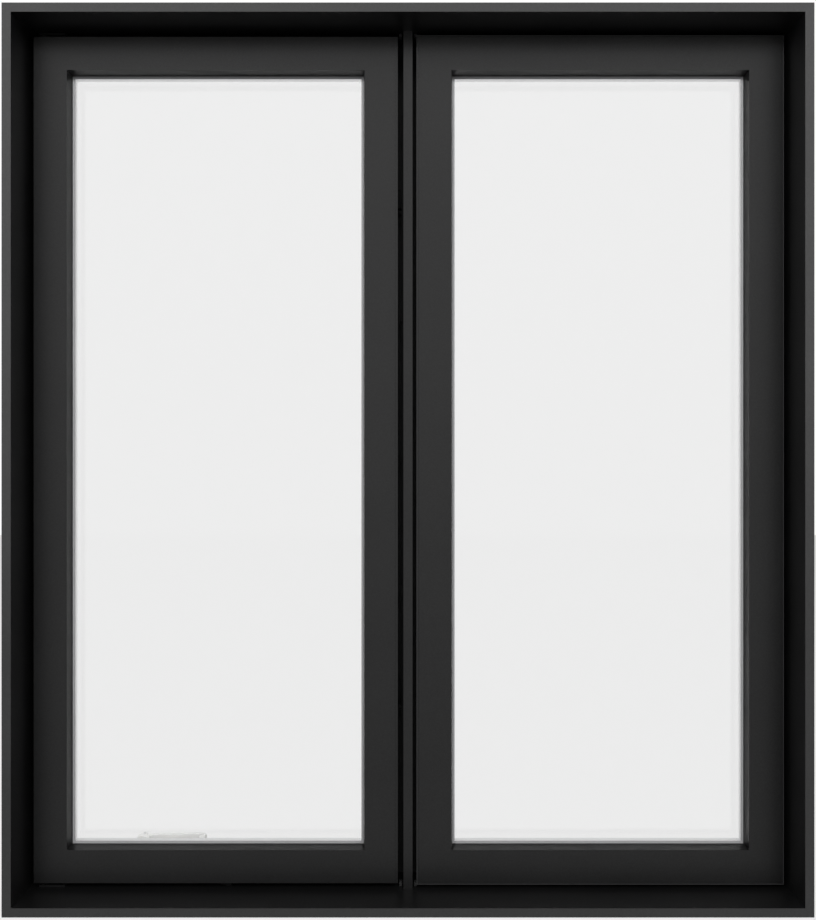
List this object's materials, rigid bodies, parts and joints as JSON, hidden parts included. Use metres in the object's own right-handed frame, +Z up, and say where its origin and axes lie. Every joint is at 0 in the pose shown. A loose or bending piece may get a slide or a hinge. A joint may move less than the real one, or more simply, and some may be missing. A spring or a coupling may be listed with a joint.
{
  "type": "double casement window",
  "caption": "Framed window with a crank-operated side-hung sash on the left and a stationary sash of the same section on the right, black outside and white inside.",
  "frame": {"origin": "centre of the underside of the sill", "axes": "+X right as seen from outside, +Y into the room, +Z up"},
  "size_m": [1.219, 0.1572, 1.372],
  "materials": {
    "black_coat": "satin powder coat",
    "white_paint": "satin white",
    "white_hardware": "gloss white",
    "clear_glass": "clear",
    "spacer_bar": "mill",
    "grey_gasket": "matt",
    "black_rubber": "matt",
    "bead_vinyl": "satin",
    "black_nylon": "matt",
    "dark_steel": "black corrosion coat",
    "plated_steel": "zinc plated"
  },
  "bodies": {
    "frame": {"outer_sill": "black_coat", "outer_jamb_right": "black_coat", "outer_head": "black_coat", "outer_jamb_left": "black_coat", "outer_mullion": "black_coat", "inner_sill": "white_paint", "inner_jamb_right": "white_paint", "inner_head": "white_paint", "inner_jamb_left": "white_paint", "inner_mullion": "white_paint", "seal_left": "black_rubber", "seal_right": "black_rubber", "fixed_outer_bottom_rail": "black_coat", "fixed_outer_right_stile": "black_coat", "fixed_outer_top_rail": "black_coat", "fixed_outer_left_stile": "black_coat", "fixed_inner_bottom_rail": "white_paint", "fixed_inner_right_stile": "white_paint", "fixed_inner_top_rail": "white_paint", "fixed_inner_left_stile": "white_paint", "fixed_outer_pane": "clear_glass", "fixed_spacer": "spacer_bar", "fixed_inner_pane": "clear_glass", "fixed_outer_gasket": "grey_gasket", "fixed_inner_gasket": "grey_gasket", "fixed_blocks": "black_rubber", "fixed_retainer": "bead_vinyl", "lower_pivot_bracket": "dark_steel", "upper_pivot_bracket": "dark_steel", "operator_base": "plated_steel", "operator_cover": "white_hardware", "lock_case": "white_hardware", "tie_bar_guides": "black_nylon"},
    "sash": {"sash_outer_bottom_rail": "black_coat", "sash_outer_right_stile": "black_coat", "sash_outer_top_rail": "black_coat", "sash_outer_left_stile": "black_coat", "sash_inner_bottom_rail": "white_paint", "sash_inner_right_stile": "white_paint", "sash_inner_top_rail": "white_paint", "sash_inner_left_stile": "white_paint", "sash_outer_pane": "clear_glass", "sash_spacer": "spacer_bar", "sash_inner_pane": "clear_glass", "sash_outer_gasket": "grey_gasket", "sash_inner_gasket": "grey_gasket", "sash_blocks": "black_rubber", "hinge_leaves": "dark_steel", "sash_track": "dark_steel", "lock_keepers": "dark_steel"},
    "arm": {"operator_arm": "dark_steel", "arm_glide": "black_nylon"},
    "crank": {"worm_shaft": "plated_steel", "crank_hub": "white_hardware", "fold_pin": "plated_steel"},
    "handle": {"crank_handle": "white_hardware"},
    "knob": {"crank_knob": "white_hardware"},
    "lever": {"lock_lever": "white_hardware"},
    "bar": {"tie_bar": "dark_steel", "tie_bar_rollers": "dark_steel"}
  },
  "joints": [
    {"name": "sash_swing", "type": "hinge", "parent": "frame", "child": "sash", "pos_m": [-0.5748, 0.001, 0.686], "axis": [0, 0, -1], "range_deg": [0, 60]},
    {"name": "arm_swing", "type": "hinge", "parent": "frame", "child": "arm", "pos_m": [-0.4286, 0.053, 0.02], "axis": [0, 0, -1], "range_deg": [0, 120]},
    {"name": "crank_turn", "type": "hinge", "parent": "frame", "child": "crank", "pos_m": [-0.442, 0.068, 0.05], "axis": [0, 0.9848, 0.1736], "range_deg": [-2880, 0]},
    {"name": "handle_fold", "type": "hinge", "parent": "crank", "child": "handle", "pos_m": [-0.442, 0.08228, 0.05252], "axis": [0, -0.1736, 0.9848], "range_deg": [0, 165]},
    {"name": "knob_spin", "type": "hinge", "parent": "handle", "child": "knob", "pos_m": [-0.345, 0.07066, 0.05047], "axis": [0, 0.9848, 0.1736], "continuous": true},
    {"name": "lock_turn", "type": "hinge", "parent": "frame", "child": "lever", "pos_m": [-0.0181, 0.07, 0.34], "axis": [-1, 0, 0], "range_deg": [0, 150]},
    {"name": "bar_slide", "type": "slide", "parent": "frame", "child": "bar", "axis": [0, 0, 1], "range_m": [0, 0.025]}
  ],
  "couplings": [
    {"joint": "arm_swing", "follows": "sash_swing", "ratio": 2},
    {"joint": "crank_turn", "follows": "sash_swing", "ratio": -48},
    {"joint": "bar_slide", "follows": "lock_turn", "m_per_rad": 0.0095493}
  ]
}
